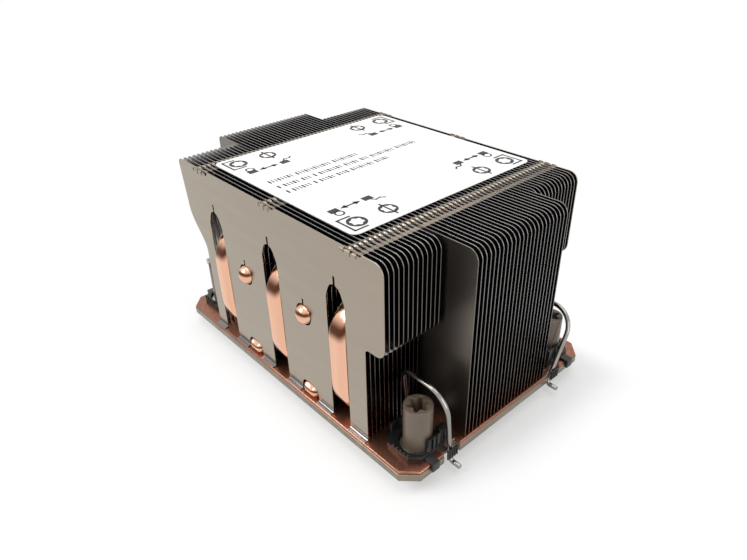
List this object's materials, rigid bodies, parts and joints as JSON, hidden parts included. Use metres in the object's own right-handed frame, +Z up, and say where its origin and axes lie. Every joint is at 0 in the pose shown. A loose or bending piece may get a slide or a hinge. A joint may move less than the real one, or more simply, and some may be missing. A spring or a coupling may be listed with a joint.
{
  "type": "passive processor heatsink",
  "caption": "Finned passive heatsink for a server processor, with C-shaped copper heat pipes, a copper spreader, captive corner nuts and tilting wire bails.",
  "frame": {"origin": "centre of the overall footprint, on the raised contact face that touches the processor", "axes": "+X along the air flow, between the fins, +Y across the fins, away from the side where the pipes with the higher upper runs rise, +Z up from the contact face"},
  "size_m": [0.1182, 0.0788, 0.064],
  "materials": {
    "nickel_base": "satin",
    "copper_sheet": "satin",
    "copper_pipe": "polished",
    "fin_sheet": "satin",
    "black_polymer": "matte",
    "tan_polymer": "satin",
    "spring_steel": "polished",
    "washer_steel": "satin",
    "label_film": "matte"
  },
  "bodies": {
    "heatsink": {"base_plate": "nickel_base", "copper_spreader": "copper_sheet", "front_fin": "fin_sheet", "front_wing_fins": "fin_sheet", "middle_fins": "fin_sheet", "rear_wing_fins": "fin_sheet", "rear_fin": "fin_sheet", "heat_pipe_front_left": "copper_pipe", "heat_pipe_front_centre": "copper_pipe", "heat_pipe_front_right": "copper_pipe", "heat_pipe_rear_left": "copper_pipe", "heat_pipe_rear_right": "copper_pipe", "label": "label_film", "washers": "washer_steel", "retainer_front_right": "black_polymer", "retainer_front_left": "black_polymer", "retainer_rear_right": "black_polymer", "retainer_rear_left": "black_polymer"},
    "nut_front_right": {"nut_front_right": "tan_polymer"},
    "bail_front_right": {"bail_front_right": "spring_steel"},
    "nut_front_left": {"nut_front_left": "tan_polymer"},
    "bail_front_left": {"bail_front_left": "spring_steel"},
    "nut_rear_right": {"nut_rear_right": "tan_polymer"},
    "bail_rear_right": {"bail_rear_right": "spring_steel"},
    "nut_rear_left": {"nut_rear_left": "tan_polymer"},
    "bail_rear_left": {"bail_rear_left": "spring_steel"}
  },
  "joints": [
    {"name": "nut_spin_front_right", "type": "hinge", "parent": "heatsink", "child": "nut_front_right", "pos_m": [0.049, -0.0285, 0.012], "axis": [0, 0, 1], "continuous": true},
    {"name": "bail_lean_front_right", "type": "hinge", "parent": "heatsink", "child": "bail_front_right", "pos_m": [0.048, -0.023, 0.0055], "axis": [1, 0, 0], "range_deg": [-6, 32]},
    {"name": "nut_spin_front_left", "type": "hinge", "parent": "heatsink", "child": "nut_front_left", "pos_m": [-0.049, -0.0285, 0.012], "axis": [0, 0, 1], "continuous": true},
    {"name": "bail_lean_front_left", "type": "hinge", "parent": "heatsink", "child": "bail_front_left", "pos_m": [-0.048, -0.023, 0.0055], "axis": [1, 0, 0], "range_deg": [-25, 13]},
    {"name": "nut_spin_rear_right", "type": "hinge", "parent": "heatsink", "child": "nut_rear_right", "pos_m": [0.049, 0.0285, 0.012], "axis": [0, 0, 1], "continuous": true},
    {"name": "bail_lean_rear_right", "type": "hinge", "parent": "heatsink", "child": "bail_rear_right", "pos_m": [0.048, 0.023, 0.0055], "axis": [-1, 0, 0], "range_deg": [-25, 13]},
    {"name": "nut_spin_rear_left", "type": "hinge", "parent": "heatsink", "child": "nut_rear_left", "pos_m": [-0.049, 0.0285, 0.012], "axis": [0, 0, 1], "continuous": true},
    {"name": "bail_lean_rear_left", "type": "hinge", "parent": "heatsink", "child": "bail_rear_left", "pos_m": [-0.048, 0.023, 0.0055], "axis": [-1, 0, 0], "range_deg": [-18, 20]}
  ]
}
